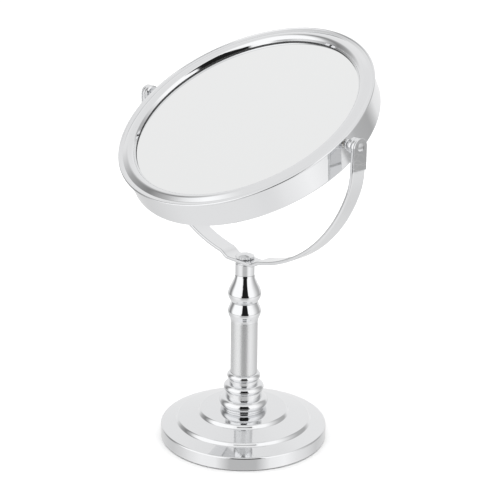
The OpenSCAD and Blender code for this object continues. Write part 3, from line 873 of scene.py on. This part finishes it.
def look(position, target, roll):
    """Camera matrix: Z away from the target, X level and then rolled about Z."""
    back = (position - target).normalized()
    level = Vector((0, 0, 1)).cross(back).normalized()
    up = back.cross(level)
    side = level * cos(roll) + up * sin(roll)
    return Matrix.Translation(position) @ Matrix((side, back.cross(side), back)).transposed().to_4x4()


camera = bpy.data.objects.new("camera", bpy.data.cameras.new("camera"))
bpy.context.scene.collection.objects.link(camera)
camera.data.lens = LENS
camera.matrix_world = look(aim + toward * DISTANCE, aim, ROLL)
bpy.context.scene.camera = camera
print(f"camera {DISTANCE:.2f} m away, lens {LENS} mm")

# %% [markdown]
# ## The studio
# Chrome shows its surroundings, so the light is built like the tent of a product studio:
# bright walls to the left and right of the camera, dimmer ones farther round, a white roof,
# and a narrow dark gap where the camera looks in. That gap draws the black line down the
# middle of every turned piece, and gives the metal its depth.
# Panels round the object could do it, but they would shade the table. The world shader can
# hold the same tent: the direction of a ray gives its bearing from the camera and its
# height, and ramps turn these into brightness.
# The table itself is a plain white sheet. It is hidden from mirror reflections, so that
# the lower half of the tent can stand in for a table that fades into the distance.

# %% The light tent
BRIGHTNESS = 1.25
# Brightness by bearing, in degrees to the right of the camera: the walls, and the table's far parts.
WALLS = [(-180, 0.74), (-160, 0.74), (-140, 0.72), (-124, 0.36), (-110, 0.22), (-100, 0.44), (-92, 0.80),
         (-84, 0.97), (-30, 0.97), (-24, 0.9), (24, 0.9), (30, 0.97), (62, 0.95), (80, 0.72), (104, 0.42),
         (122, 0.38), (138, 0.74), (160, 0.76), (180, 0.74)]
TABLE = [(-180, 0.64), (-150, 0.60), (-115, 0.56), (-95, 0.64), (-80, 0.74), (-60, 0.84), (-38, 0.82),
         (-18, 0.46), (18, 0.46), (38, 0.82), (60, 0.88), (80, 0.76), (100, 0.68), (122, 0.56), (150, 0.60),
         (180, 0.64)]
ROOF, NEAR_TABLE, HORIZON, GAP = 0.72, 0.73, 0.57, 0.012
GAP_ASIDE, LOW_GAP, HIGH_GAP = 4, (23, 28), (19, 23)  # degrees: its middle, and where each half fades out


def bearing_ramp(tree, stops):
    """A colour ramp round the horizon from stops of (degrees to the right of the camera, brightness)."""
    ramp = add(tree, "ShaderNodeValToRGB")
    elements = ramp.color_ramp.elements
    while len(elements) < len(stops):
        elements.new(1.0)
    for element, (angle, value) in zip(elements, stops):
        element.position = angle / 360 + 0.5
        element.color = (value, value, value * 1.004, 1.0)
    return ramp


def maths(tree, operation, first, second=None):
    """One step of arithmetic on sockets or numbers."""
    step = add(tree, "ShaderNodeMath", operation=operation)
    for socket, value in zip(step.inputs, (first, second)):
        if isinstance(value, bpy.types.NodeSocket):
            tree.links.new(value, socket)
        elif value is not None:
            socket.default_value = value
    return step.outputs["Value"]


def between(tree, value, low, high):
    """0 below low, 1 above high, and a smooth S in between."""
    step = add(tree, "ShaderNodeMapRange", interpolation_type="SMOOTHSTEP")
    step.inputs["From Min"].default_value, step.inputs["From Max"].default_value = low, high
    tree.links.new(value, step.inputs["Value"])
    return step.outputs["Result"]


def fade(tree, value, low, high):
    """1 below low, 0 above high: one less what lies between."""
    return maths(tree, "SUBTRACT", 1.0, between(tree, value, low, high))


def blend(tree, share, below, above):
    """A mix of two brightnesses, each a socket or a number."""
    step = add(tree, "ShaderNodeMix", data_type="FLOAT")
    for socket, value in zip((step.inputs[0], step.inputs[2], step.inputs[3]), (share, below, above)):
        if isinstance(value, bpy.types.NodeSocket):
            tree.links.new(value, socket)
        else:
            socket.default_value = value
    return step.outputs[0]


def dot(tree, vector, axis):
    """How far a direction goes along an axis: their dot product."""
    step = add(tree, "ShaderNodeVectorMath", operation="DOT_PRODUCT")
    step.inputs[1].default_value = axis
    tree.links.new(vector, step.inputs[0])
    return step.outputs["Value"]


# %% Bearing and height of a ray, turned into brightness
world = bpy.data.worlds.new("light_tent")
world.use_nodes = True
tent = world.node_tree
tent.nodes.clear()
direction = add(tent, "ShaderNodeTexCoord").outputs["Generated"]
front = Vector((toward.x, toward.y, 0)).normalized()
ahead, aside, height = (dot(tent, direction, axis) for axis in (front, right, (0, 0, 1)))
turned = maths(tent, "DIVIDE", maths(tent, "ARCTAN2", aside, ahead), 2 * pi)
bearing = maths(tent, "ADD", turned, 0.5)
walls, table = bearing_ramp(tent, WALLS), bearing_ramp(tent, TABLE)
tent.links.new(bearing, walls.inputs["Fac"])
tent.links.new(bearing, table.inputs["Fac"])
lower = blend(tent, between(tent, height, -0.90, -0.50), NEAR_TABLE, table.outputs["Color"])
upper = blend(tent, between(tent, height, 0.70, 0.82), walls.outputs["Color"], ROOF)

# %% The dark gap, the horizon line and the finished tent
sideways = maths(tent, "ABSOLUTE", maths(tent, "SUBTRACT", bearing, 0.5 + GAP_ASIDE / 360))
low_gap, high_gap = (fade(tent, sideways, *(angle / 360 for angle in edge)) for edge in (LOW_GAP, HIGH_GAP))
gap = blend(tent, between(tent, height, -0.06, 0.06), low_gap, high_gap)
gap = maths(tent, "MULTIPLY", gap, fade(tent, height, 0.58, 0.70))
gap = maths(tent, "MULTIPLY", gap, between(tent, height, -0.31, -0.26))
whole = blend(tent, gap, blend(tent, between(tent, height, -0.29, -0.24), lower, upper), GAP)
line_foot, line_top = between(tent, height, -0.31, -0.28), between(tent, height, -0.26, -0.23)
dimming = maths(tent, "MULTIPLY", maths(tent, "SUBTRACT", line_foot, line_top), 1 - HORIZON)
level = maths(tent, "MULTIPLY", whole, maths(tent, "SUBTRACT", 1.0, dimming))
glow = add(tent, "ShaderNodeBackground", Strength=BRIGHTNESS)
tent.links.new(level, glow.inputs["Color"])
tent.links.new(glow.outputs["Background"], add(tent, "ShaderNodeOutputWorld").inputs["Surface"])
bpy.context.scene.world = world
bpy.context.scene.view_settings.view_transform = "Standard"

# %% [markdown]
# The table is one square of white paper, far larger than the view, so that its edge is never
# near. A broad round light above it gives the faint soft shadow that the base stands in.

# %% The table and a soft light above it
EDGES = (-6000.0, 6000.0)
table_grid = np.array([[[x, y, 0.0] for x in EDGES] for y in EDGES])
table_top = bpy.data.objects.new("table_top", surface("table_top", table_grid, (False, False)))
bpy.context.scene.collection.objects.link(table_top)
paper = bpy.data.materials.new("white_paper")
paper.use_nodes = True
sheet = paper.node_tree.nodes["Principled BSDF"].inputs
sheet["Base Color"].default_value = (0.92, 0.92, 0.92, 1)
sheet["Roughness"].default_value = 0.9
sheet["Specular IOR Level"].default_value = 0.0
table_top.data.materials.append(paper)
table_top.visible_glossy = False

roof_light = bpy.data.objects.new("roof_light", bpy.data.lights.new("roof_light", "AREA"))
bpy.context.scene.collection.objects.link(roof_light)
roof_light.data.shape, roof_light.data.size = "DISK", 3.0
roof_light.data.energy = 45.0
roof_light.location = (0, 0, 2.2)
roof_light.visible_glossy = False
print("table 12 m wide, tent and one roof light")
